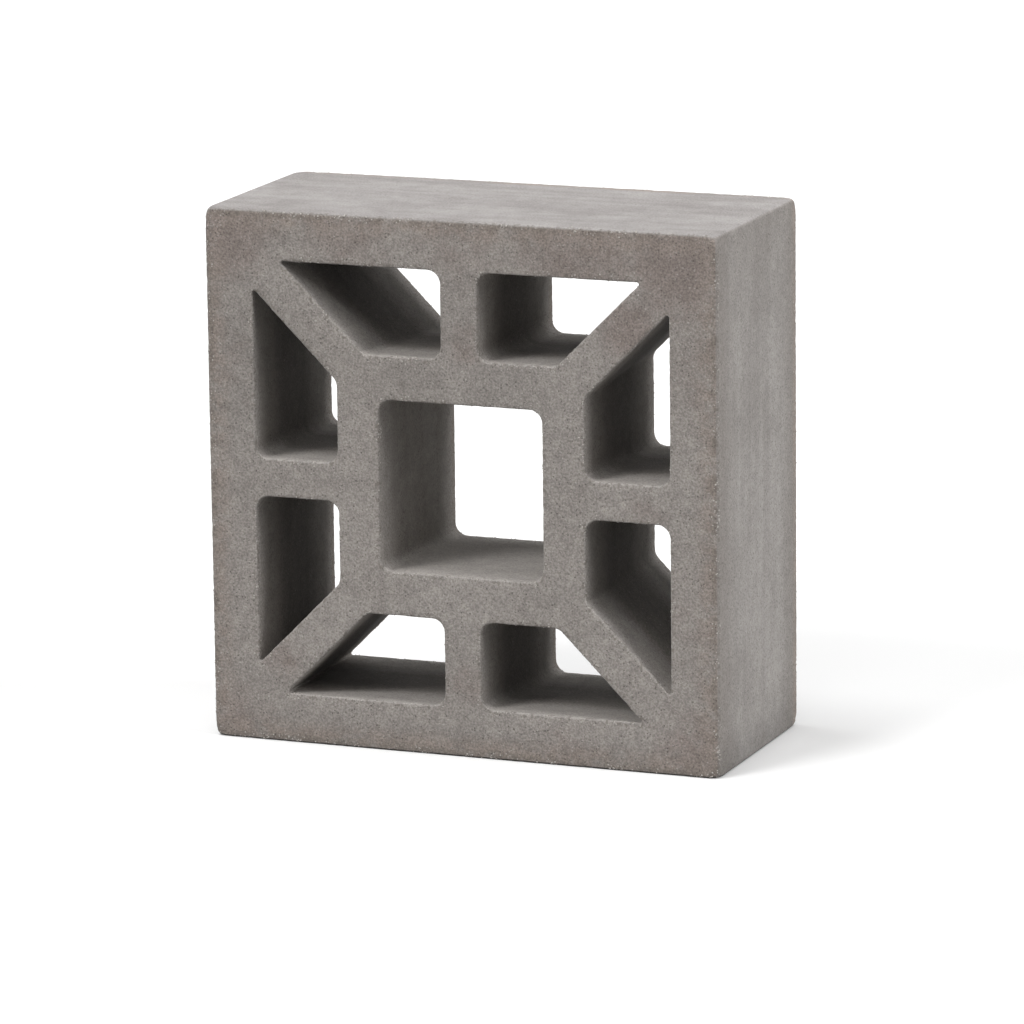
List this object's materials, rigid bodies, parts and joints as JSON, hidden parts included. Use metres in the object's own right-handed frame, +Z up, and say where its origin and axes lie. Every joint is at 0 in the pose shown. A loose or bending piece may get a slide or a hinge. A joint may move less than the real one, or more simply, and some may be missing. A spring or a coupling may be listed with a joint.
{
  "type": "concrete screen block",
  "caption": "Square cast concrete screen block: a square hole at its centre, ribs to the sides and corners of its frame, and tapered holes between them that let air and light through a wall.",
  "frame": {"origin": "middle of the footprint, on the floor", "axes": "+Z up, +X along the wall, +Y through the block from the front face to the back face"},
  "size_m": [0.29, 0.125, 0.29],
  "materials": {
    "concrete": "bare sandy cast concrete, warm grey, rough"
  },
  "bodies": {
    "root": {"screen_block": "concrete"}
  },
  "joints": []
}
